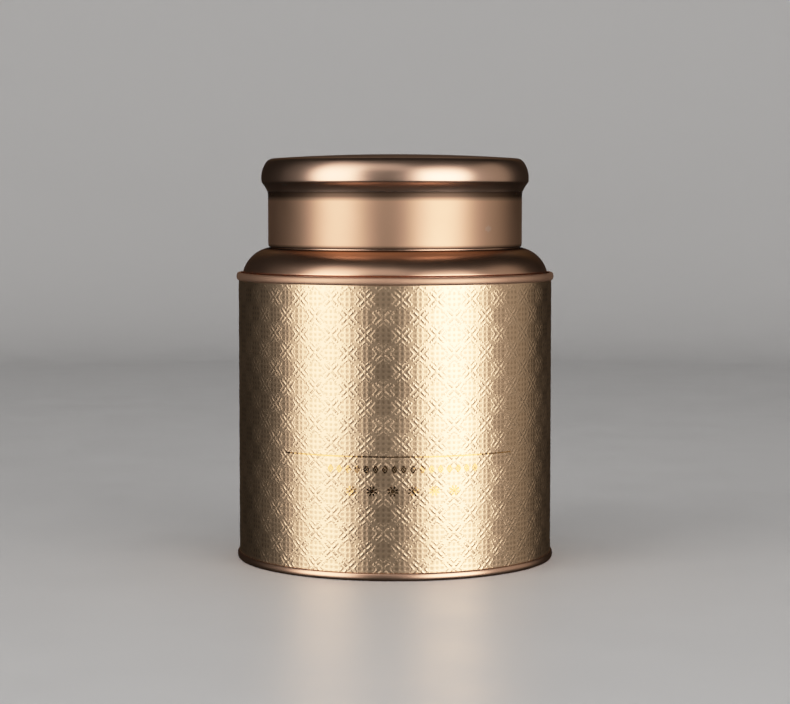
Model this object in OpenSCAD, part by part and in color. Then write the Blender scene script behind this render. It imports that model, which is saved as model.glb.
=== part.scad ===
// Round tea caddy with an embossed barrel, a domed shoulder, a plug-in inner lid and a
// slip-over outer lid with a rolled bulge around its top.
// The origin is the centre of the base, on the plane it stands on. +Z is up, -Y is the front.

/* [Tin] */
// Widest diameter, across the two rolled beads
bead_d = 85; // [83:1:87]
// Height over everything with both lids closed
total_h = 108; // [80:1:150]
// Thickness of the tinplate sheet
sheet_t = 0.3; // [0.24:0.02:0.32]
// How far the rolled beads stand out from the barrel
bead_step = 0.6; // [0.55:0.05:0.8]
// Height of each rolled bead
bead_h = 2; // [1.8:0.1:2.6]

/* [Shoulder and neck] */
// Outside diameter of the outer lid's skirt
skirt_d = 68; // [66:0.5:70]
// Radius of the shoulder's dome in section
dome_r = 8.8; // [8.4:0.1:9.4]
// Height of the neck's mouth above the shoulder
neck_rise = 20; // [16:0.5:20]
// Radial clearance between the neck and the outer lid's hem
lid_gap = 0.08; // [0.04:0.01:0.1]

/* [Inner lid] */
// Depth of the inner lid's pan below its flange
pan_depth = 7.5; // [6.5:0.5:10]
// Diameter of the pull knob
knob_d = 14; // [12:0.5:18]
// Thickness of the soft ring under the flange
seal_t = 0.6; // [0.4:0.1:0.8]

/* [Outer lid] */
// Height of the plain part of the skirt
skirt_h = 14.2; // [13.4:0.2:15]
// Height of the bulged top above the skirt
cap_h = 10.5; // [10:0.1:11.5]
// How far the bulge stands out from the skirt
bulge_step = 1.8; // [1.6:0.1:2.2]
// Gap between the skirt's edge and the shoulder
lid_rest_gap = 0.2; // [0.1:0.1:0.6]

/* [Hidden] */
// Clearances: between folded layers, and across pieces that slide; overlap of pressed pieces
fold_gap = 0.03;
slide_gap = 0.1;
press = 0.02;
// Radii from the outside in
bead_r = bead_d / 2;
barrel_r = bead_r - bead_step;
barrel_in = barrel_r - sheet_t;
chuck_r = barrel_in - fold_gap - sheet_t;
skirt_r = skirt_d / 2;
skirt_in = skirt_r - sheet_t;
hem_in = skirt_in - sheet_t - 0.02;
neck_r = hem_in - lid_gap;
// Rolled beads in section: half-width, half-height and the turn at their inner side
roll_w = 0.5;
roll_h = bead_h / 2;
turn_r = 0.35;
seal_bead = 0.16;
// The shoulder's dome runs between these two slopes, from its foot up to the collar; the foot
// curls under above a groove, inside the bead
dome_low = 18;
dome_high = 78;
groove_r = 0.45;
groove_depth = 0.57;
under_r = 0.5;
under_low = -65;
under_rise = 0.485;
shoulder_h = under_rise - (dome_r - under_r) * sin(dome_low) + dome_r * sin(dome_high);
barrel_h = total_h - cap_h - skirt_h - lid_rest_gap - shoulder_h;
shoulder_top = barrel_h + shoulder_h;
under_c = [chuck_r - 2 * groove_r - under_r * cos(under_low), barrel_h + under_rise];
dome_c = under_c - (dome_r - under_r) * [cos(dome_low), sin(dome_low)];
// A short collar turns down from the dome and grips the neck
collar_in = neck_r - press;
collar_h = 1.4;
dome_end = dome_c + dome_r * [cos(dome_high), sin(dome_high)];
collar_round = (dome_end[0] - collar_in) / (1 + cos(dome_high));
collar_c = dome_end - collar_round * [cos(dome_high), sin(dome_high)];
collar_low = collar_c[1] - collar_h;
// The neck's mouth is curled inwards and its foot is turned out under the collar
mouth_z = shoulder_top + neck_rise;
curl_r = 0.45;
curl_depth = 1.2;
mouth_r = neck_r - 2 * curl_r;
foot_w = 1;
// Inner lid: heights of its flange and floor, and radii of its pan and seal
flange_z = mouth_z + seal_t + 2 * fold_gap;
flange_top = flange_z + sheet_t;
flange_r = neck_r - 0.1;
pan_r = mouth_r - slide_gap;
pan_turn = 0.5;
pan_round = 0.8;
floor_z = flange_top - pan_depth;
seal_in = pan_r + 0.3;
// Knob with a rivet pressed into it from below, over a washer
knob_h = pan_depth - 0.6;
rivet_r = 1.5;
rivet_grip = 3.5;
rivet_head_r = 3;
rivet_head_h = 0.7;
washer_r = 4.6;
washer_t = 0.4;
washer_z = floor_z - sheet_t - fold_gap - washer_t;
// Outer lid: the section runs up from the lip through a hollow curve, a heel, a long side
// curve and a tight corner to the crown
skirt_low = shoulder_top + lid_rest_gap;
lip_z = skirt_low + skirt_h;
hem_h = 3;
side_r = 7.2;
side_low = -7;
side_high = 34;
side_c = [skirt_r + bulge_step - side_r, lip_z + 3.9];
corner_r = 2.6;
corner_high = 85;
corner_c = side_c + (side_r - corner_r) * [cos(side_high), sin(side_high)];
corner_end = corner_c + corner_r * [cos(corner_high), sin(corner_high)];
heel_r = 1.1;
heel_low = -40;
heel_c = side_c + (side_r - heel_r) * [cos(side_low), sin(side_low)];
heel_end = heel_c + heel_r * [cos(heel_low), sin(heel_low)];
lip_low = -10;
lip_r = skirt_r + sheet_t + fold_gap;
hollow_r = (heel_end[0] - lip_r) / (cos(lip_low) - cos(heel_low));
hollow_c = heel_end + hollow_r * [cos(heel_low), sin(heel_low)];
crown_rise = total_h - corner_end[1];
crown_r = (pow(corner_end[0], 2) + pow(crown_rise, 2)) / (2 * crown_rise);
crown_c = [0, total_h - crown_r];
liner_r = 31;
liner_gap = 0.15;
// Lapped side seams at the back
seam_w = 4;
$fn = 96;

champagne = [0.80, 0.71, 0.55];
rose_gold = [0.78, 0.57, 0.46];
bare_tin = [0.75, 0.75, 0.74];
compound = [0.55, 0.56, 0.50];
soft_white = [0.92, 0.91, 0.88];

// Points on an elliptical arc with half-axes w and h, from angle a to angle b
function oval(c, w, h, a, b, n) =
    [for (i = [0:n]) let (t = a + (b - a) * i / n) c + [w * cos(t), h * sin(t)]];
// Points on a circular arc of radius r, from angle a to angle b
function arc(c, r, a, b, n) = oval(c, r, r, a, b, n);

function unit(v) = v / norm(v);
function left(v) = [-v[1], v[0]];
function on_axis_side(v) = [max(v[0], 0), v[1]];
// The path without points that repeat the one before
function distinct(p) = [for (i = [0:len(p) - 1]) if (i == 0 || norm(p[i] - p[i - 1]) > 0.001) p[i]];
// The left-hand offset at point i of path p that moves both neighbouring edges by one unit
function mitre(p, i) =
    let (a = left(unit(i > 0 ? p[i] - p[i - 1] : p[1] - p[0])))
    let (b = i < len(p) - 1 ? left(unit(p[i + 1] - p[i])) : a)
    (a + b) / (1 + a * b);

// Section of a formed sheet whose face follows the path, with its thickness on the left
module sheet(path) {
    face = distinct(path);
    back = [for (i = [len(face) - 1:-1:0]) on_axis_side(face[i] + sheet_t * mitre(face, i))];
    polygon(concat(face, back));
}

// Section of a plain ring between two radii and two heights
module band(r1, r2, z1, z2) {
    translate([r1, z1]) square([r2 - r1, z2 - z1]);
}

// Upright strip of sheet lapped on the inside of a round wall, at the back
module back_strip(wall_in, z1, z2) {
    intersection() {
        rotate_extrude() band(wall_in - sheet_t, wall_in + press, z1, z2);
        translate([-seam_w / 2, wall_in / 2, z1 - 1]) cube([seam_w, wall_in, z2 - z1 + 2]);
    }
}

// Rolled barrel with its edges turned out inside both rolled seams, and a side seam
module body_shell() {
    edge = sheet_t + seal_bead + fold_gap;
    hook_r = barrel_r + 0.12;
    hook_h = roll_h;
    seam_low = bead_h + 1.5;
    color(champagne) union() {
        rotate_extrude() union() {
            band(barrel_in, barrel_r, edge, barrel_h - edge);
            band(barrel_r - press, hook_r, edge + 0.15, hook_h);
            band(barrel_r - press, hook_r, barrel_h - hook_h, barrel_h - edge - 0.15);
        }
        back_strip(barrel_in, seam_low, barrel_h - seam_low);
    }
}

// Recessed bottom disc whose rim is rolled around the barrel's lower edge
module base_end() {
    panel_z = 1.5;
    ledge_z = 1;
    step_r = 0.78 * bead_r;
    path = concat(
        [[0, panel_z], [step_r, panel_z], [step_r + 1, ledge_z]],
        arc([chuck_r - 0.5, ledge_z - 0.5], 0.5, 90, 0, 5),
        arc([chuck_r + turn_r, turn_r], turn_r, 180, 270, 5),
        oval([bead_r - roll_w, roll_h], roll_w, roll_h, -90, 90, 14),
        [[barrel_r + fold_gap, bead_h]]
    );
    color(rose_gold) rotate_extrude() sheet(path);
}

// Sealing compound squeezed into the fold at the barrel's lower edge
module base_seam_seal() {
    low = sheet_t + fold_gap / 2;
    color(compound) rotate_extrude() band(barrel_in, barrel_r, low, low + seal_bead);
}

// Domed shoulder between the upper rolled bead, with its groove, and the collar at the neck
module shoulder_ring() {
    path = concat(
        [[barrel_r + fold_gap, barrel_h - bead_h]],
        oval([bead_r - roll_w, barrel_h - roll_h], roll_w, roll_h, -90, 90, 14),
        arc([chuck_r + turn_r, barrel_h - turn_r], turn_r, 90, 180, 5),
        arc([chuck_r - groove_r, barrel_h - groove_depth], groove_r, 0, -180, 10),
        arc(under_c, under_r, under_low, dome_low, 8),
        arc(dome_c, dome_r, dome_low, dome_high, 16),
        arc(collar_c, collar_round, dome_high, 180, 6),
        [[collar_in, collar_low]]
    );
    color(rose_gold) rotate_extrude() sheet(path);
}

// Sealing compound squeezed into the fold at the barrel's upper edge
module shoulder_seam_seal() {
    high = barrel_h - sheet_t - fold_gap / 2;
    color(compound) rotate_extrude() band(barrel_in, barrel_r, high - seal_bead, high);
}

// Plain neck that the outer lid slides over
module neck_ring() {
    foot_z = collar_low - fold_gap;
    path = concat(
        [[neck_r + foot_w, foot_z], [neck_r, foot_z]],
        arc([neck_r - curl_r, mouth_z - curl_r], curl_r, 0, 180, 10),
        [[mouth_r, mouth_z - curl_r - curl_depth]]
    );
    color(rose_gold) rotate_extrude() sheet(path);
}

// Inner lid: a shallow pan that plugs the mouth and hangs by its flange
module inner_lid_pan() {
    wall = pan_r - sheet_t;
    path = concat(
        [[flange_r, flange_top]],
        arc([wall + pan_turn, flange_top - pan_turn], pan_turn, 90, 180, 6),
        arc([wall - pan_round, floor_z + pan_round], pan_round, 0, -90, 6),
        [[rivet_r + fold_gap, floor_z]]
    );
    color(bare_tin) rotate_extrude() sheet(path);
}

// Soft ring between the inner lid's flange and the neck's mouth
module inner_lid_seal() {
    color(soft_white) rotate_extrude()
        band(seal_in, flange_r, mouth_z + fold_gap, flange_z - fold_gap);
}

// Turned pull knob with a blind bore for its rivet
module inner_lid_knob() {
    head_r = knob_d / 2;
    foot_r = 0.3 * knob_d;
    foot_h = 0.8;
    waist_r = 0.2 * knob_d;
    waist_w = foot_r - waist_r;
    edge_r = 1;
    crown = 1;
    waist_h = knob_h - foot_h - 2 * edge_r - crown;
    edge_z = foot_h + waist_h + edge_r;
    outline = concat(
        [[0, 0], [foot_r, 0]],
        oval([foot_r, foot_h + waist_h / 2], waist_w, waist_h / 2, -90, -270, 10),
        arc([head_r - edge_r, edge_z], edge_r, -90, 70, 8),
        oval([0, edge_z + edge_r - 0.1], head_r - edge_r, crown + 0.1, 20, 90, 8)
    );
    color(bare_tin) translate([0, 0, floor_z + fold_gap]) difference() {
        rotate_extrude() polygon(distinct(outline));
        translate([0, 0, -1]) cylinder(r = rivet_r - press, h = rivet_grip + 1.1);
    }
}

// Washer under the pan's floor
module knob_washer() {
    color(bare_tin) translate([0, 0, washer_z]) difference() {
        cylinder(r = washer_r, h = washer_t);
        translate([0, 0, -1]) cylinder(r = rivet_r + fold_gap, h = washer_t + 2);
    }
}

// Rivet that holds the knob: a domed head below the washer and a shank up into the knob
module knob_rivet() {
    head_top = washer_z - fold_gap;
    shank_top = floor_z + fold_gap + rivet_grip;
    head = concat(
        [[0, 0]],
        oval([0, 0], rivet_head_r, rivet_head_h, -90, 0, 8)
    );
    color(bare_tin) union() {
        translate([0, 0, head_top]) rotate_extrude() polygon(head);
        translate([0, 0, head_top - 0.1]) cylinder(r = rivet_r, h = shank_top - head_top + 0.1);
    }
}

// Straight skirt of the outer lid: a hem at its foot, a flare inside the bulge, a side seam
module lid_skirt() {
    hem_r = (skirt_r - hem_in) / 2;
    flare_r = hollow_r + sheet_t + fold_gap;
    path = concat(
        [[skirt_r, skirt_low + hem_h / 2], [skirt_r, lip_z - 0.4]],
        arc(hollow_c, flare_r, 180 + lip_low, 180 + heel_low + 2, 8)
    );
    color(rose_gold) union() {
        rotate_extrude() union() {
            sheet(path);
            translate([skirt_r - hem_r, skirt_low + hem_r]) circle(r = hem_r);
            band(hem_in, skirt_r, skirt_low + hem_r, skirt_low + hem_h);
        }
        back_strip(skirt_in, skirt_low + hem_h / 2, lip_z - 1);
    }
}

// Domed top of the outer lid, bulged at its rim and closed under the skirt's flare
module lid_top() {
    crown_edge = 90 - asin(corner_end[0] / crown_r);
    path = concat(
        arc(hollow_c, hollow_r, 180 + lip_low, 180 + heel_low, 8),
        arc(heel_c, heel_r, heel_low, side_low, 6),
        arc(side_c, side_r, side_low, side_high, 10),
        arc(corner_c, corner_r, side_high, corner_high, 8),
        arc(crown_c, crown_r, crown_edge, 90, 12)
    );
    color(rose_gold) rotate_extrude() sheet(path);
}

// Soft disc glued under the crown, flat below and domed above
module lid_liner() {
    top_r = crown_r - sheet_t - fold_gap;
    top_edge = 90 - asin(liner_r / top_r);
    low = flange_top + liner_gap;
    color(soft_white) rotate_extrude()
        polygon(concat([[0, low], [liner_r, low]], arc(crown_c, top_r, top_edge, 90, 12)));
}

body_shell();
base_end();
base_seam_seal();
shoulder_ring();
shoulder_seam_seal();
neck_ring();
inner_lid_pan();
inner_lid_seal();
inner_lid_knob();
knob_washer();
knob_rivet();
lid_skirt();
lid_top();
lid_liner();
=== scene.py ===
"""Looks of the two-tone tea caddy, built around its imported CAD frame.

Sections are written in millimetres in the (radius, height) plane and turned about the tin's axis.
The tin's front faces -Y and its side seams lie at the back, on +Y.
"""
import math

import bpy
import numpy as np
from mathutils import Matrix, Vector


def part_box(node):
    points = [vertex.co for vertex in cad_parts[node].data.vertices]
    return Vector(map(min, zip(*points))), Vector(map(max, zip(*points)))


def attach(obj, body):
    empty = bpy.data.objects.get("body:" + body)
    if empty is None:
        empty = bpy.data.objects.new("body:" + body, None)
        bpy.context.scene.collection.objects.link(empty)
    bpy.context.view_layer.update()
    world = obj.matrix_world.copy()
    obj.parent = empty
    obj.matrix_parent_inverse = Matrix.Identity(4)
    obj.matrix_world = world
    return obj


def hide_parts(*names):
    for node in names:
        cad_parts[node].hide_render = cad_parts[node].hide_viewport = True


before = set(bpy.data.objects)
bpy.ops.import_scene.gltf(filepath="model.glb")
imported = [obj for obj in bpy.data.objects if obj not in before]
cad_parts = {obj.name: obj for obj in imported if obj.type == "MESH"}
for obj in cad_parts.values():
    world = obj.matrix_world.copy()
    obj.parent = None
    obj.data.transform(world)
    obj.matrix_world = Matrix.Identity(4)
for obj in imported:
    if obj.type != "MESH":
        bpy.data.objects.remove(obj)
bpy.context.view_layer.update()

MM = 0.001
SHEET = 0.3
FOLD_GAP = 0.03
TURN = 2 * math.pi
FRONT = -math.pi / 2
BACK = math.pi / 2
AROUND = 288
TOO_CLOSE = 0.002


# ---------------------------------------------------------------- sizes read from the CAD frame

def top_of(node):
    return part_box(node)[1].z / MM


def foot_of(node):
    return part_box(node)[0].z / MM


def radius_of(node):
    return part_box(node)[1].x / MM


bead_r = radius_of("base_end")
bead_h = top_of("base_end")
barrel_r = bead_r - 0.6
barrel_in = barrel_r - SHEET
chuck_r = barrel_in - FOLD_GAP - SHEET
barrel_h = foot_of("shoulder_ring") + bead_h
neck_r = radius_of("neck_ring") - 1.0
mouth_z = top_of("neck_ring")
flange_r = radius_of("inner_lid_pan")
flange_top = top_of("inner_lid_pan")
floor_z = foot_of("inner_lid_pan") + SHEET
pan_r = neck_r - 2 * 0.45 - 0.1
knob_r = radius_of("inner_lid_knob")
knob_low = foot_of("inner_lid_knob")
knob_top = top_of("inner_lid_knob")
bulge_r = radius_of("lid_top")
lip_z = foot_of("lid_top")
crown_z = top_of("lid_top")
skirt_r = bulge_r - 1.8
skirt_low = foot_of("lid_skirt")
liner_r = radius_of("lid_liner")
liner_low = foot_of("lid_liner")


# ---------------------------------------------------------------- sections and meshes

def polar(centre, radius, degrees):
    """The point at an angle about a centre."""
    t = math.radians(degrees)
    return (centre[0] + radius * math.cos(t), centre[1] + radius * math.sin(t))


def oval(centre, width, height, start, end, count):
    """Points on an elliptical arc, angles in degrees."""
    turns = np.radians(np.linspace(start, end, count + 1))
    return [(centre[0] + width * math.cos(t), centre[1] + height * math.sin(t)) for t in turns]


def arc(centre, radius, start, end, count):
    return oval(centre, radius, radius, start, end, count)


def ogee(start, end, count):
    """A smooth step between two points, level at both ends."""
    steps = np.linspace(0, 1, count + 1)
    rise = steps * steps * (3 - 2 * steps)
    return [
        (start[0] + (end[0] - start[0]) * s, start[1] + (end[1] - start[1]) * h)
        for s, h in zip(steps, rise)
    ]


def line(start, end, count):
    return [tuple(p) for p in np.linspace(start, end, count + 1)]


def distinct(path):
    kept = [path[0]]
    for p in path[1:]:
        if math.dist(p, kept[-1]) > TOO_CLOSE:
            kept.append(p)
    return kept


def offset(path, distance):
    """The path moved to its left by a distance, with mitred corners."""
    p = np.array(path, float)
    edge = np.diff(p, axis=0)
    edge /= np.linalg.norm(edge, axis=1)[:, None]
    left = np.stack([-edge[:, 1], edge[:, 0]], axis=1)
    before = np.vstack([left[:1], left])
    after = np.vstack([left, left[-1:]])
    mitre = (before + after) / (1 + (before * after).sum(axis=1))[:, None]
    moved = p + distance * mitre
    moved[:, 0] = np.maximum(moved[:, 0], 0)
    return [tuple(q) for q in moved]


def sheet(path, thickness=SHEET):
    """Closed section of a formed sheet: its face follows the path, its thickness is on the left."""
    face = distinct(path)
    return face + offset(face, thickness)[::-1]


def even_angles(count):
    return np.arange(count) * TURN / count


def make_object(name, verts, faces, body, material, sharp_degrees=35):
    mesh = bpy.data.meshes.new(name)
    mesh.from_pydata([tuple(v) for v in verts], [], faces)
    mesh.validate()
    mesh.update()
    mesh.shade_smooth()
    mesh.set_sharp_from_angle(angle=math.radians(sharp_degrees))
    obj = bpy.data.objects.new(name, mesh)
    bpy.context.scene.collection.objects.link(obj)
    obj.data.materials.append(material)
    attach(obj, body)
    return obj


def stand_in(node):
    """Hides a CAD node, so that the piece drawn here shows in its place."""
    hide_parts(node)


def turned(name, section, body, material, shift=None):
    """Turns a closed section about the axis. shift(radius, height, angle) moves points outwards."""
    angles = even_angles(AROUND)
    section = distinct(section)
    if math.dist(section[0], section[-1]) < TOO_CLOSE:
        section = section[:-1]
    rings, verts = [], []
    for r, z in section:
        if r < 1e-6:
            rings.append([len(verts)] * len(angles))
            verts.append((0, 0, z * MM))
            continue
        rings.append(list(range(len(verts), len(verts) + len(angles))))
        for a in angles:
            out = r + (shift(r, z, a) if shift else 0)
            verts.append((out * math.cos(a) * MM, out * math.sin(a) * MM, z * MM))
    faces = []
    for i, ring in enumerate(rings):
        other = rings[(i + 1) % len(rings)]
        for j in range(len(angles)):
            k = (j + 1) % len(angles)
            corners = [ring[j], ring[k], other[k], other[j]]
            unique = list(dict.fromkeys(corners))
            if len(unique) > 2:
                faces.append(unique)
    return make_object(name, verts, faces, body, material)


# ---------------------------------------------------------------- materials

class Nodes:
    """Small helper around a material's node tree."""

    def __init__(self, name):
        self.material = bpy.data.materials.new(name)
        self.material.use_nodes = True
        self.tree = self.material.node_tree
        self.shader = self.tree.nodes["Principled BSDF"]

    def add(self, kind, **settings):
        node = self.tree.nodes.new(kind)
        for key, value in settings.items():
            if key in node.inputs:
                node.inputs[key].default_value = value
            else:
                setattr(node, key, value)
        return node

    def link(self, source, target):
        self.tree.links.new(source, target)

    def coords(self):
        return self.add("ShaderNodeTexCoord").outputs["Object"]

    def noise(self, scale, detail=3.0, roughness=0.5):
        node = self.add("ShaderNodeTexNoise", Scale=scale, Detail=detail, Roughness=roughness)
        self.link(self.coords(), node.inputs["Vector"])
        return node.outputs["Fac"]

    def remap(self, value, low, high, from_low=0.3, from_high=0.7):
        node = self.add("ShaderNodeMapRange")
        node.inputs["From Min"].default_value = from_low
        node.inputs["From Max"].default_value = from_high
        node.inputs["To Min"].default_value = low
        node.inputs["To Max"].default_value = high
        self.link(value, node.inputs["Value"])
        return node.outputs["Result"]

    def mix(self, factor, first, second):
        node = self.add("ShaderNodeMix", data_type="RGBA")
        self.link(factor, node.inputs["Factor"])
        for socket, value in ((node.inputs[6], first), (node.inputs[7], second)):
            if isinstance(value, tuple):
                socket.default_value = (*value, 1)
            else:
                self.link(value, socket)
        return node.outputs[2]

    def bump(self, height, distance):
        node = self.add("ShaderNodeBump", Strength=1.0, Distance=distance)
        self.link(height, node.inputs["Height"])
        return node.outputs["Normal"]


# The lacquer's tint at grazing angles, the colour of the painted shade in the embossing's pits, and
# how dark the painted shade at a part's ends gets
GRAZING = (0.14, 0.11, 0.08, 1)
PIT_SHADE_COLOUR = (0.70, 0.465, 0.285)
PAINTED_SHADE = 0.2


def lacquered_metal(name, colour, deep, roughness, grain=0.004, pit_shade_radius=None, painted_shade_bands=()):
    """Satin metallic lacquer on tinplate: faint cloudy colour, fine orange peel, soft smudges.

    Painted shade: below the pit radius, in mm, the pits of the embossing are coloured darker.
    Each pair of shade heights gives, in mm, where the painted shade starts and where it is darkest.
    """
    n = Nodes(name)
    n.shader.inputs["Metallic"].default_value = 1
    n.shader.inputs["Specular Tint"].default_value = GRAZING
    clouds = n.remap(n.noise(60, 4), 0, 0.35)
    tint = n.mix(clouds, colour, deep)
    edge = n.add("ShaderNodeNewGeometry").outputs["Pointiness"]
    worn = n.remap(edge, 0, 0.22, 0.53, 0.6)
    tint = n.mix(worn, tint, (0.86, 0.80, 0.74))
    # Painted shade: the embossing's pits are coloured darker than the face around them
    if pit_shade_radius:
        flat = n.add("ShaderNodeVectorMath", operation="MULTIPLY")
        flat.inputs[1].default_value = (1, 1, 0)
        n.link(n.coords(), flat.inputs[0])
        reach = n.add("ShaderNodeVectorMath", operation="LENGTH")
        n.link(flat.outputs[0], reach.inputs[0])
        low, high = (pit_shade_radius - 0.013) * MM, (pit_shade_radius - 0.003) * MM
        tint = n.mix(n.remap(reach.outputs["Value"], 1, 0, low, high), tint, PIT_SHADE_COLOUR)
    # Painted shade: each band of heights is coloured darker towards its darkest height
    height = n.add("ShaderNodeSeparateXYZ")
    n.link(n.coords(), height.inputs[0])
    for clear, dark in painted_shade_bands:
        low, high = sorted((clear * MM, dark * MM))
        painted_shade_mask = n.remap(height.outputs["Z"], float(clear > dark), float(dark > clear), low, high)
        tint = n.mix(painted_shade_mask, tint, tuple(PAINTED_SHADE * c for c in colour))
    n.link(tint, n.shader.inputs["Base Color"])
    smudge = n.remap(n.noise(45, 5, 0.6), roughness - 0.025, roughness + 0.03)
    n.link(smudge, n.shader.inputs["Roughness"])
    peel = n.bump(n.noise(2600, 2), grain * MM)
    n.link(peel, n.shader.inputs["Normal"])
    return n.material


CHAMPAGNE = (0.94, 0.65, 0.415)
CHAMPAGNE_DEEP = (0.91, 0.615, 0.385)
ROSE = (0.90, 0.58, 0.42)
ROSE_DEEP = (0.86, 0.545, 0.385)
ROSE_RED = (0.90, 0.545, 0.37)
ROSE_RED_DEEP = (0.86, 0.51, 0.34)
ROSE_RUBBED = (0.80, 0.485, 0.325)
ROSE_RUBBED_DEEP = (0.76, 0.455, 0.30)
ROSE_SATIN = (0.76, 0.46, 0.30)
ROSE_SATIN_DEEP = (0.72, 0.43, 0.275)

# The barrel's pits get painted shade below its radius
champagne = lacquered_metal(
    "champagne_lacquer", CHAMPAGNE, CHAMPAGNE_DEEP, 0.32, pit_shade_radius=barrel_r,
)
rose_gold = lacquered_metal("rose_gold_lacquer", ROSE, ROSE_DEEP, 0.3)
rose_red = lacquered_metal("rose_gold_red", ROSE_RED, ROSE_RED_DEEP, 0.3)
rose_rubbed = lacquered_metal("rose_gold_rubbed", ROSE_RUBBED, ROSE_RUBBED_DEEP, 0.5)
# Painted shade: the skirt's top, under the bulge, and its foot, over the gap below the hem, are
# darkened
rose_satin = lacquered_metal(
    "rose_gold_satin", ROSE_SATIN, ROSE_SATIN_DEEP, 0.42,
    painted_shade_bands=((lip_z - 1.9, lip_z - 0.6), (skirt_low + 1.0, skirt_low + 0.2)),
)


def plain_metal(name, colour, roughness, turned_marks=False):
    """Bare metal: concentric turning marks if it was turned, otherwise faint rolling streaks."""
    n = Nodes(name)
    n.shader.inputs["Metallic"].default_value = 1
    clouds = n.remap(n.noise(90, 4), 0, 0.5)
    deep = tuple(0.86 * c for c in colour)
    n.link(n.mix(clouds, colour, deep), n.shader.inputs["Base Color"])
    rough = n.remap(n.noise(70, 5, 0.6), roughness - 0.04, roughness + 0.06)
    n.link(rough, n.shader.inputs["Roughness"])
    if turned_marks:
        rings = n.add("ShaderNodeTexWave", wave_type="RINGS", rings_direction="Z")
        rings.inputs["Scale"].default_value = 900
        rings.inputs["Distortion"].default_value = 2
        n.link(n.coords(), rings.inputs["Vector"])
        marks = rings.outputs["Fac"]
    else:
        stretch = n.add("ShaderNodeMapping")
        stretch.inputs["Scale"].default_value = (1, 14, 1)
        n.link(n.coords(), stretch.inputs["Vector"])
        streaks = n.add("ShaderNodeTexNoise", Scale=900.0, Detail=3.0)
        n.link(stretch.outputs["Vector"], streaks.inputs["Vector"])
        marks = streaks.outputs["Fac"]
    n.link(n.bump(marks, 0.006 * MM), n.shader.inputs["Normal"])
    return n.material


def soft_plastic(name, colour, roughness, grain_scale, grain):
    """Rubbery or foamed plastic: matt, slightly uneven, finely grained."""
    n = Nodes(name)
    deep = tuple(0.88 * c for c in colour)
    n.link(n.mix(n.remap(n.noise(120, 4), 0, 1), colour, deep), n.shader.inputs["Base Color"])
    rough = n.remap(n.noise(300, 2), roughness - 0.05, roughness + 0.08)
    n.link(rough, n.shader.inputs["Roughness"])
    n.shader.inputs["Subsurface Weight"].default_value = 0.15
    n.shader.inputs["Subsurface Scale"].default_value = 0.5 * MM
    n.link(n.bump(n.noise(grain_scale, 2), grain * MM), n.shader.inputs["Normal"])
    return n.material


tinplate = plain_metal("bare_tinplate", (0.74, 0.73, 0.70), 0.3)
aluminium = plain_metal("turned_aluminium", (0.82, 0.82, 0.81), 0.22, turned_marks=True)
foil = lacquered_metal(
    "copper_foil", (0.71, 0.40, 0.16), (0.64, 0.34, 0.125), 0.1, grain=0.002,
)
compound = soft_plastic("seam_compound", (0.50, 0.52, 0.44), 0.6, 900, 0.02)
silicone = soft_plastic("white_silicone", (0.86, 0.85, 0.81), 0.42, 1800, 0.01)
foam = soft_plastic("white_foam", (0.88, 0.86, 0.81), 0.75, 2600, 0.05)


# ---------------------------------------------------------------- embossed barrel

COLUMNS = 29
STEPS = 20
HALF = STEPS // 2
period = TURN * barrel_r / COLUMNS
step = period / STEPS
pattern_angle = FRONT - math.radians(4)
pattern_z = 66.55
ARM = {0.5: 0.042, 1.5: 0.066, 2.5: 0.066, 3.5: 0.048}
CHEVRON = {0.5: 0.046, 1.5: 0.046, 2.5: 0.036}
WAFFLE = 0.008
PIT = -0.014
CROWDING = 0.15
LAP_HALF = 2
seam_half = LAP_HALF + 0.4
plain_top = 0.55


def grid_line(i):
    """Place of grid line i, in steps from a crossing. The lines crowd a little about the middles."""
    u = i + 0.5
    return u - CROWDING * np.sin(2 * TURN * u / HALF)


def from_middle(i, middle):
    """Steps from grid line i to the nearest repeat of a middle, which lies between two lines."""
    return abs((i + 0.5 - middle + HALF) % STEPS - HALF)


def grid_height(i, j):
    """Relief, in mm, at a grid point of the lattice: crossings at (0, 0) and half a period off."""
    di, dj = from_middle(i, HALF), from_middle(j, 0)
    if di + dj > HALF:
        di, dj = from_middle(i, 0), from_middle(j, HALF)
    around, inner, outer = di + dj, min(di, dj), max(di, dj)
    if around == HALF:
        return ARM.get(inner, 0)
    if around == HALF - 3:
        return CHEVRON.get(inner, 0)
    if outer > 4.5 or around > HALF - 3:
        return 0
    return WAFFLE if {1.5, 4.5} & {di, dj} else PIT


CELL = np.array([[grid_height(i, j) for j in range(STEPS)] for i in range(STEPS)], float)


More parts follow.
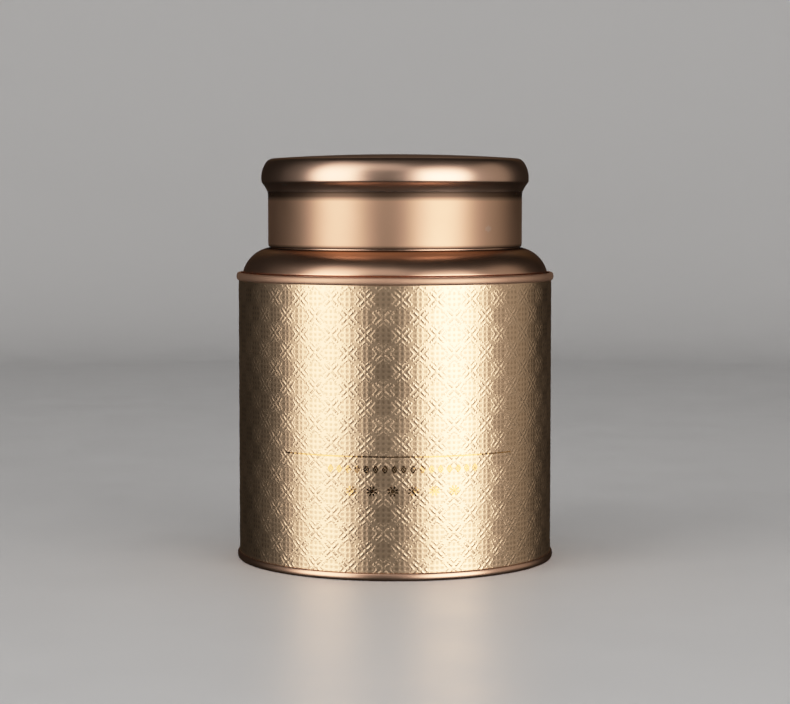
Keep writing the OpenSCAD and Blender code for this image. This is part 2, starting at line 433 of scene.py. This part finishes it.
def embossed_barrel():
    """The printed barrel: every grid point of its outer face is raised or sunk by the pattern."""
    count = COLUMNS * STEPS
    low, high = 1.2, barrel_h - 1.2
    j0 = math.ceil((low - pattern_z) / step - 0.5)
    j1 = math.floor((high - pattern_z) / step - 0.5)
    angles = pattern_angle + grid_line(np.arange(count)) * TURN / count
    heights = pattern_z + grid_line(np.arange(j0, j1 + 1)) * step
    lift = np.array([[CELL[i % STEPS, j % STEPS] for j in range(j0, j1 + 1)] for i in range(count)])
    from_seam = np.abs((angles - BACK + math.pi) % TURN - math.pi) * barrel_r
    lift[from_seam < seam_half] = 0
    lift[:, heights > foot_of("shoulder_ring") - plain_top] = 0
    inner = barrel_in - np.where(from_seam < LAP_HALF, SHEET, 0)
    rows = len(heights)
    radius = barrel_r + lift
    ring = np.stack([np.cos(angles), np.sin(angles)], axis=1)
    outer = np.empty((count, rows, 3))
    outer[:, :, :2] = radius[:, :, None] * ring[:, None, :]
    outer[:, :, 2] = heights
    inside = np.empty((count, 2, 3))
    inside[:, :, :2] = (inner[:, None] * ring)[:, None, :]
    inside[:, :, 2] = heights[[0, -1]]
    verts = np.concatenate([outer.reshape(-1, 3), inside.reshape(-1, 3)]) * MM
    base = count * rows
    faces = []
    for i in range(count):
        k = (i + 1) % count
        for j in range(rows - 1):
            a, b, c, d = i * rows + j, k * rows + j, k * rows + j + 1, i * rows + j + 1
            rising = abs(lift[i, j] - lift[k, j + 1])
            falling = abs(lift[k, j] - lift[i, j + 1])
            crest = max(lift[i, j], lift[k, j + 1]) < max(lift[k, j], lift[i, j + 1])
            if falling < rising or (falling == rising and crest):
                faces += [(a, b, d), (b, c, d)]
            else:
                faces += [(a, b, c), (a, c, d)]
        lo_i, hi_i = base + 2 * i, base + 2 * i + 1
        lo_k, hi_k = base + 2 * k, base + 2 * k + 1
        faces.append((lo_k, lo_i, hi_i, hi_k))
        faces.append((lo_i, lo_k, k * rows, i * rows))
        faces.append((i * rows + rows - 1, k * rows + rows - 1, hi_k, hi_i))
    obj = make_object("barrel_embossed", verts, faces, "tin", champagne)
    obj.data.shade_flat()
    stand_in("body_shell")


def relief_at(angle, z):
    """Height of the embossed face at one place, between its grid points."""
    u = (angle - pattern_angle) / TURN * COLUMNS * STEPS - 0.5
    v = (z - pattern_z) / step - 0.5
    i, j = math.floor(u), math.floor(v)
    fu, fv = u - i, v - j
    a, b = CELL[i % STEPS, j % STEPS], CELL[(i + 1) % STEPS, j % STEPS]
    c, d = CELL[(i + 1) % STEPS, (j + 1) % STEPS], CELL[i % STEPS, (j + 1) % STEPS]
    return (a * (1 - fu) + b * fu) * (1 - fv) + (d * (1 - fu) + c * fu) * fv


embossed_barrel()


# ---------------------------------------------------------------- foil ornaments on the barrel

FOIL_LIFT = 0.05


def foil_strip(name, outline_rows):
    """Foil on the barrel. Each row is a list of (round, up) points in mm; rows are joined in turn."""
    verts, faces = [], []
    for rows in outline_rows:
        start = len(verts)
        wide = len(rows[0])
        for row in rows:
            for x, z in row:
                a = FRONT + x / barrel_r
                r = barrel_r + relief_at(a, z) + FOIL_LIFT
                verts.append((r * math.cos(a) * MM, r * math.sin(a) * MM, z * MM))
        for p in range(len(rows) - 1):
            for q in range(wide - 1):
                a = start + p * wide + q
                faces.append((a, a + 1, a + wide + 1, a + wide))
    obj = make_object(name, verts, faces, "tin", foil, 80)


def stroke(start, end, width, count):
    """Rows of a straight stroke from start to end."""
    along = np.array(end, float) - np.array(start, float)
    side = np.array([-along[1], along[0]]) / np.linalg.norm(along) * width / 2
    across = np.linspace(1, -1, 3)
    return [
        [tuple(np.array(start) + along * t + side * s) for t in np.linspace(0, 1, count + 1)]
        for s in across
    ]


def ring_stroke(centre, radius, width):
    turns = np.linspace(0, TURN, 29)
    return [
        [
            (centre[0] + (radius + w) * math.cos(t), centre[1] + (radius + w) * math.sin(t))
            for t in turns
        ]
        for w in (width / 2, 0, -width / 2)
    ]


def lozenge(centre, half_w, half_h, width):
    x, z = centre
    corners = [(x + half_w, z), (x, z + half_h), (x - half_w, z), (x, z - half_h)]
    return [stroke(corners[i], corners[(i + 1) % 4], width, 6) for i in range(4)]


rule_z = 31.5
rule_span = (math.radians(-42), math.radians(45))
small_z = 28.3
small_count = 17
small_reach = math.radians(25.9) * barrel_r
small_middle = 2.2
large_z = 22.8
large_count = 6
large_pitch = 5.3
large_middle = 2.1
small_w, small_h = 0.62, 0.9
petals = 8
petal_near, petal_far = (0.7, 0.65), (1.45, 1.3)

rule_ends = [(angle * barrel_r, rule_z) for angle in rule_span]
foil_strip("foil_rule", [stroke(*rule_ends, 0.34, 400)])
small_row = []
for i in range(small_count):
    x = small_middle + small_reach * (2 * i / (small_count - 1) - 1)
    small_row += lozenge((x, small_z), small_w, small_h, 0.36)
    small_row.append(stroke((x, small_z - 0.3), (x, small_z + 0.3), 0.34, 3))
foil_strip("foil_small_lozenges", small_row)
large_row = []
for i in range(large_count):
    x = large_middle + (i - (large_count - 1) / 2) * large_pitch
    large_row.append(ring_stroke((x, large_z), 0.3, 0.5))
    for t in (np.arange(petals) + 0.5) * TURN / petals:
        ends = [
            (x + w * math.cos(t), large_z + h * math.sin(t)) for w, h in (petal_near, petal_far)
        ]
        large_row.append(stroke(*ends, 0.44, 4))
foil_strip("foil_large_rosettes", large_row)


# ---------------------------------------------------------------- rolled ends and neck

ROLL_W = 0.5
ROLL_H = bead_h / 2
turn_r = 0.35
disc_z, disc_step = 1.5, 0.5
disc_ring_r = 0.78 * bead_r


def bead_section(z, start, end):
    return oval((bead_r - ROLL_W, z), ROLL_W, ROLL_H, start, end, 24)


base_path = (
    [(0, disc_z)]
    + line((3, disc_z), (disc_ring_r - 0.3, disc_z), 6)
    + ogee((disc_ring_r - 0.1, disc_z), (disc_ring_r + 1.1, disc_z - disc_step), 8)
    + arc((chuck_r - 0.5, 0.5), 0.5, 90, 0, 8)
    + arc((chuck_r + turn_r, turn_r), turn_r, 180, 270, 8)
    + bead_section(ROLL_H, -90, 90)
    + [(barrel_r + FOLD_GAP, bead_h)]
)
base = turned("base_rolled_end", sheet(base_path), "tin", rose_red)
stand_in("base_end")

dome_r = 8.8
dome_low, dome_high = 18, 78
groove_r, groove_depth = 0.45, 0.57
under_r, under_low, under_rise = 0.5, -65, 0.485
groove_in = chuck_r - 2 * groove_r
under_c = (groove_in - under_r * math.cos(math.radians(under_low)), barrel_h + under_rise)
dome_c = polar(under_c, under_r - dome_r, dome_low)
dome_end = polar(dome_c, dome_r, dome_high)
collar_in = neck_r - 0.02
collar_round = (dome_end[0] - collar_in) / (1 + math.cos(math.radians(dome_high)))
collar_c = polar(dome_end, -collar_round, dome_high)
shoulder_path = (
    [(barrel_r + FOLD_GAP, barrel_h - bead_h)]
    + bead_section(barrel_h - ROLL_H, -90, 90)
    + arc((chuck_r + turn_r, barrel_h - turn_r), turn_r, 90, 180, 8)
    + arc((chuck_r - groove_r, barrel_h - groove_depth), groove_r, 0, -180, 14)
    + arc(under_c, under_r, under_low, dome_low, 14)
    + arc(dome_c, dome_r, dome_low, dome_high, 40)
    + arc(collar_c, collar_round, dome_high, 180, 14)
    + [(collar_in, collar_c[1] - 1.4)]
)


def rub_bead(obj, middle):
    """Gives the rolled bead about a height, in mm, the duller finish of its rubbed lacquer."""
    obj.data.materials.append(rose_rubbed)
    for face in obj.data.polygons:
        x, y, z = face.center
        if math.hypot(x, y) > (bead_r - 1.1) * MM and abs(z / MM - middle) < ROLL_H + 0.05:
            face.material_index = 1


collar_top = collar_c[1] + collar_round
# Painted shade: the top of the shoulder's collar, in the gap under the skirt's hem, is darkened
rose_collar = lacquered_metal(
    "rose_gold_collar", ROSE_RED, ROSE_RED_DEEP, 0.3,
    painted_shade_bands=((collar_top - 0.55, collar_top - 0.1),),
)
shoulder = turned("shoulder_domed", sheet(shoulder_path), "tin", rose_collar)
rub_bead(shoulder, barrel_h - ROLL_H)
stand_in("shoulder_ring")

curl_r = 0.45
neck_foot = foot_of("neck_ring")
bend_r = 0.12
neck_path = (
    [(neck_r + 1.0, neck_foot), (neck_r + bend_r, neck_foot)]
    + arc((neck_r + bend_r, neck_foot + bend_r), bend_r, 270, 180, 4)
    + line((neck_r, neck_foot + 0.4), (neck_r, mouth_z - curl_r - 0.2), 8)
    + arc((neck_r - curl_r, mouth_z - curl_r), curl_r, 0, 180, 20)
    + [(neck_r - 2 * curl_r, mouth_z - curl_r - 1.2)]
)
neck = turned("neck_curled", sheet(neck_path), "tin", rose_red)
stand_in("neck_ring")


# ---------------------------------------------------------------- inner lid

wall_r = pan_r - SHEET
flange_bend, floor_bend = 0.5, 0.8
raised = 0.35
rivet_hole_r = 1.53
pan_path = (
    [(flange_r, flange_top)]
    + arc((wall_r + flange_bend, flange_top - flange_bend), flange_bend, 90, 180, 12)
    + arc((wall_r - floor_bend, floor_z + floor_bend), floor_bend, 0, -90, 12)
    + ogee((0.8 * wall_r, floor_z), (0.8 * wall_r - 1.2, floor_z + raised), 10)
    + ogee((0.34 * wall_r, floor_z + raised), (0.34 * wall_r - 1, floor_z), 10)
    + [(rivet_hole_r, floor_z)]
)
pan = turned("inner_lid_pressed_pan", sheet(pan_path), "inner_lid", tinplate)
stand_in("inner_lid_pan")

seal_low, seal_high = foot_of("inner_lid_seal"), top_of("inner_lid_seal")
seal_round = (seal_high - seal_low) / 2
seal_section = (
    arc((flange_r - seal_round, seal_low + seal_round), seal_round, -90, 90, 10)
    + arc((pan_r + 0.3 + seal_round, seal_low + seal_round), seal_round, 90, 270, 10)
)
seal = turned("inner_lid_soft_seal", seal_section, "inner_lid", silicone)
stand_in("inner_lid_seal")

foot_r, waist_r, edge_r = 0.6 * knob_r, 0.4 * knob_r, 1.0
knob_plinth, knob_crown = 0.8, 1.0
waist_w = foot_r - waist_r
waist_h = (knob_top - knob_low) - knob_plinth - 2 * edge_r - knob_crown
edge_z = knob_low + knob_plinth + waist_h + edge_r
knob_section = (
    [(0, knob_low)]
    + arc((foot_r - 0.2, knob_low + 0.2), 0.2, -90, 0, 5)
    + oval((foot_r, edge_z - edge_r - waist_h / 2), waist_w, waist_h / 2, -90, -270, 26)
    + arc((knob_r - edge_r, edge_z), edge_r, -90, 70, 18)
    + oval((0, edge_z + edge_r - 0.1), knob_r - edge_r, 1.1, 20, 90, 24)
)
knob = turned("inner_lid_turned_knob", knob_section, "inner_lid", aluminium)
stand_in("inner_lid_knob")


# ---------------------------------------------------------------- outer lid

side_r, side_low, side_high = 7.2, -7, 34
side_rise = 4.3
corner_r, corner_high = 2.6, 85
heel_r, heel_low = 1.1, -40
lip_low = -20

side_c = (bulge_r - side_r, lip_z + side_rise)
corner_c = polar(side_c, side_r - corner_r, side_high)
corner_end = polar(corner_c, corner_r, corner_high)
heel_c = polar(side_c, side_r - heel_r, side_low)
heel_end = polar(heel_c, heel_r, heel_low)
lip_r = skirt_r + 0.2
hollow_turn = math.cos(math.radians(lip_low)) - math.cos(math.radians(heel_low))
hollow_r = (heel_end[0] - lip_r) / hollow_turn
hollow_c = polar(heel_end, hollow_r, heel_low)
lip_foot = polar(hollow_c, hollow_r, 180 + lip_low)[1]
crown_rise = crown_z - corner_end[1]
crown_r = (corner_end[0] ** 2 + crown_rise ** 2) / (2 * crown_rise)
crown_c = (0, crown_z - crown_r)
crown_edge = 90 - math.degrees(math.asin(corner_end[0] / crown_r))
top_path = (
    arc(hollow_c, hollow_r, 180 + lip_low, 180 + heel_low, 16)
    + arc(heel_c, heel_r, heel_low, side_low, 12)
    + arc(side_c, side_r, side_low, side_high, 30)
    + arc(corner_c, corner_r, side_high, corner_high, 24)
    + arc(crown_c, crown_r, crown_edge, 90, 30)
)
lid = turned("lid_domed_top", sheet(top_path), "outer_lid", rose_gold)
stand_in("lid_top")

hem_in = 33.38
ease_turn, ease_r, ease_top = 16, 3.6, 1.25
ease_c = (skirt_r - ease_r, skirt_low + ease_top)
ease_end = polar(ease_c, ease_r, -ease_turn)
hem_r = (ease_end[0] - hem_in) / (1 + math.cos(math.radians(ease_turn)))
hem_c = polar(ease_end, hem_r, 180 - ease_turn)
flare_turn, flare_r = 20, 2.9
flare_end = (skirt_r + flare_r * (1 - math.cos(math.radians(flare_turn))), lip_foot - 0.05)
flare_c = polar(flare_end, flare_r, -flare_turn)
skirt_in = skirt_r - SHEET
skirt_section = (
    arc(ease_c, ease_r, -ease_turn, 0, 8)
    + line((skirt_r, ease_c[1] + 0.2), (skirt_r, flare_c[1] - 0.2), 24)
    + arc(flare_c, flare_r, 180, 180 - flare_turn, 10)
    + [(lip_r - SHEET - 0.05, flare_end[1])]
    + arc(hollow_c, hollow_r + SHEET + FOLD_GAP, 180 + lip_low, 180 + heel_low + 2, 14)
)
hem_h = 2.9
back_face = offset(distinct(skirt_section), SHEET)[::-1]
skirt_section += [p for p in back_face if p[1] > skirt_low + hem_h + 0.3]
skirt_section += [(skirt_in, skirt_low + hem_h + 0.1), (hem_in, skirt_low + hem_h)]
skirt_section += arc(hem_c, hem_r, 180, 360 - ease_turn, 16)


def lap(r, z, a):
    """Lapped side seam of the skirt: the sheet runs double, on the inside, across a strip."""
    from_seam = abs((a - BACK + math.pi) % TURN - math.pi) * skirt_r
    inside = r < skirt_in + 0.01 and skirt_low + hem_h + 0.2 < z < lip_z - 1
    return -SHEET if inside and from_seam < LAP_HALF else 0


skirt = turned("lid_skirt_hemmed", skirt_section, "outer_lid", rose_satin, shift=lap)
stand_in("lid_skirt")

liner_top_r = crown_r - SHEET - FOLD_GAP
liner_edge = 90 - math.degrees(math.asin(liner_r / liner_top_r))
liner_section = (
    [(0, liner_low)]
    + arc((liner_r - 0.3, liner_low + 0.3), 0.3, -90, 0, 6)
    + arc(crown_c, liner_top_r, liner_edge, 90, 30)
)
liner = turned("lid_foam_liner", liner_section, "outer_lid", foam)
stand_in("lid_liner")


# ---------------------------------------------------------------- carried-over CAD nodes

for node, material in (
    ("base_seam_seal", compound),
    ("shoulder_seam_seal", compound),
    ("knob_washer", aluminium),
    ("knob_rivet", aluminium),
):
    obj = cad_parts[node]
    obj.data.materials.clear()
    obj.data.materials.append(material)


# ---------------------------------------------------------------- floor, camera and lights

def studio_floor():
    """A pale seamless bowl: a flat floor that curves up into a wall all round."""
    rim, sweep, height = 1.3, 0.6, 1.5
    path = [(0.0, 0.0), (0.3, 0.0), (rim - sweep, 0.0)]
    path += [
        (rim - sweep + sweep * math.sin(t), sweep - sweep * math.cos(t))
        for t in np.linspace(0, math.pi / 2, 24)
    ]
    path.append((rim, height))
    count = 128
    verts, faces = [(0, 0, 0)], []
    for r, z in path[1:]:
        verts += [(r * math.cos(a), r * math.sin(a), z) for a in even_angles(count)]
    for j in range(count):
        faces.append((0, 1 + j, 1 + (j + 1) % count))
    for i in range(len(path) - 2):
        for j in range(count):
            k = (j + 1) % count
            a, b = 1 + i * count, 1 + (i + 1) * count
            faces.append((a + j, b + j, b + k, a + k))
    mesh = bpy.data.meshes.new("studio_floor")
    mesh.from_pydata(verts, [], faces)
    mesh.shade_smooth()
    floor = bpy.data.objects.new("studio_floor", mesh)
    bpy.context.scene.collection.objects.link(floor)
    n = Nodes("pale_floor")
    n.shader.inputs["Base Color"].default_value = (0.62, 0.61, 0.60, 1)
    n.link(n.remap(n.noise(40, 3), 0.36, 0.42), n.shader.inputs["Roughness"])
    mesh.materials.append(n.material)
    floor.visible_glossy = False
    floor.visible_shadow = False


studio_floor()

eye = (0, -0.58986, 0.09745)
tilt = 0.0719
PALE = (0.85, 0.85, 0.86, 1)
DARK = (0.005, 0.0045, 0.004, 1)
camera_data = bpy.data.cameras.new("camera")
camera_data.lens = 100
camera_data.sensor_width = 36
camera_data.clip_start, camera_data.clip_end = 0.01, 20
camera = bpy.data.objects.new("camera", camera_data)
bpy.context.scene.collection.objects.link(camera)
camera.location = eye
camera.rotation_euler = (math.pi / 2 - tilt, 0, 0)
bpy.context.scene.camera = camera

# The lights turn with the camera and tip against it, so that walls and tops mirror them alike
# from every side and height.
rig = bpy.data.objects.new("light_rig", None)
bpy.context.scene.collection.objects.link(rig)
rig.rotation_euler = (math.pi / 2 - tilt, 0, 0)
follow = rig.constraints.new("COPY_ROTATION")
follow.target = camera
follow.invert_x = True
follow.mix_mode = "ADD"

# The light behind the tin only turns with the camera
level_rig = bpy.data.objects.new("level_light_rig", None)
bpy.context.scene.collection.objects.link(level_rig)
turn_only = level_rig.constraints.new("COPY_ROTATION")
turn_only.target = camera
turn_only.use_x = turn_only.use_y = False


def soft_window(tree, value, low, high, feather_low, feather_high):
    """A window from low to high along a panel's side, with soft edges."""
    edges = []
    for start, end in ((low, low + feather_low), (high, high - feather_high)):
        edge = tree.nodes.new("ShaderNodeMapRange")
        edge.interpolation_type = "SMOOTHSTEP"
        edge.inputs["From Min"].default_value = start
        edge.inputs["From Max"].default_value = end
        tree.links.new(value, edge.inputs["Value"])
        edges.append(edge.outputs["Result"])
    both = tree.nodes.new("ShaderNodeMath")
    both.operation = "MULTIPLY"
    tree.links.new(edges[0], both.inputs[0])
    tree.links.new(edges[1], both.inputs[1])
    return both.outputs[0]


def panel(
    name, azimuth, reach, width, low, high, radiance,
    side=0.25, foot=0.2, head=0.2, tint=(1, 1, 1), holder=None,
):
    """A soft panel facing the tin. Azimuth is in degrees to the right of the camera.

    side, foot and head are the shares of the panel over which its edges fade.
    """
    light = bpy.data.lights.new(name, "AREA")
    light.shape = "RECTANGLE"
    light.color = tint
    light.size = width
    light.size_y = high - low
    light.energy = radiance * math.pi * width * (high - low)
    light.use_nodes = True
    tree = light.node_tree
    emission = next(n for n in tree.nodes if n.type == "EMISSION")
    split = tree.nodes.new("ShaderNodeSeparateXYZ")
    place = tree.nodes.new("ShaderNodeNewGeometry")
    tree.links.new(place.outputs["Parametric"], split.inputs[0])
    across = soft_window(tree, split.outputs[0], 0, 1, side, side)
    upward = soft_window(tree, split.outputs[1], 0, 1, foot, head)
    product = tree.nodes.new("ShaderNodeMath")
    product.operation = "MULTIPLY"
    tree.links.new(across, product.inputs[0])
    tree.links.new(upward, product.inputs[1])
    tree.links.new(product.outputs[0], emission.inputs["Strength"])
    obj = bpy.data.objects.new(name, light)
    bpy.context.scene.collection.objects.link(obj)
    a = math.radians(azimuth)
    obj.location = (reach * math.sin(a), -reach * math.cos(a), (high + low) / 2)
    obj.rotation_euler = (math.pi / 2, 0, a)
    obj.parent = holder or rig
    obj.visible_camera = False


panel(
    "left_softbox", azimuth=-51, reach=0.8, width=0.86, low=-0.4, high=1.55, radiance=2.35,
    side=0.28, foot=0.16, head=0.66,
)
panel(
    "right_softbox", azimuth=41, reach=0.8, width=0.9, low=-0.4, high=0.95, radiance=2.95,
    foot=0.23, head=0.6,
)
panel("left_fill", azimuth=-97, reach=0.8, width=0.4, low=-0.3, high=0.8, radiance=0.05)
panel(
    "right_fill", azimuth=94, reach=0.8, width=0.72, low=-0.3, high=0.8, radiance=0.31,
    tint=(1, 0.93, 0.84),
)
panel("front_fill", azimuth=-2, reach=1.1, width=0.7, low=-0.25, high=1.0, radiance=0.09)
panel(
    "upper_front", azimuth=-10, reach=0.8, width=0.8, low=0.38, high=1.35, radiance=0.55,
    foot=0.3, head=0.4,
)
panel(
    "rear_fill", azimuth=178, reach=1.0, width=1.2, low=0.2, high=1.8, radiance=0.22,
    foot=0.15, holder=level_rig,
)

# The surroundings light the tin softly, but are dark where its metal mirrors them
world = bpy.data.worlds.new("studio")
bpy.context.scene.world = world
world.use_nodes = True
tree = world.node_tree
background = tree.nodes["Background"]
paths = tree.nodes.new("ShaderNodeLightPath")
blend = tree.nodes.new("ShaderNodeMix")
blend.data_type = "RGBA"
blend.inputs[6].default_value = PALE
blend.inputs[7].default_value = DARK
tree.links.new(paths.outputs["Is Glossy Ray"], blend.inputs["Factor"])
tree.links.new(blend.outputs[2], background.inputs["Color"])
background.inputs["Strength"].default_value = 0.8

scene = bpy.context.scene
scene.view_settings.view_transform = "Standard"
scene.view_settings.look = "None"

# A soft shoulder, so that highlights roll off to pale gold as they do on film
WHITE = 1.7
curves = scene.view_settings.curve_mapping
curves.white_level = (WHITE,) * 3
roll_off = curves.curves[3]
for light_in, light_out in ((0.25, 0.25), (0.5, 0.49), (0.79, 0.7), (1.0, 0.81), (1.27, 0.9)):
    roll_off.points.new(light_in / WHITE, light_out)
curves.update()
scene.view_settings.use_curve_mapping = True
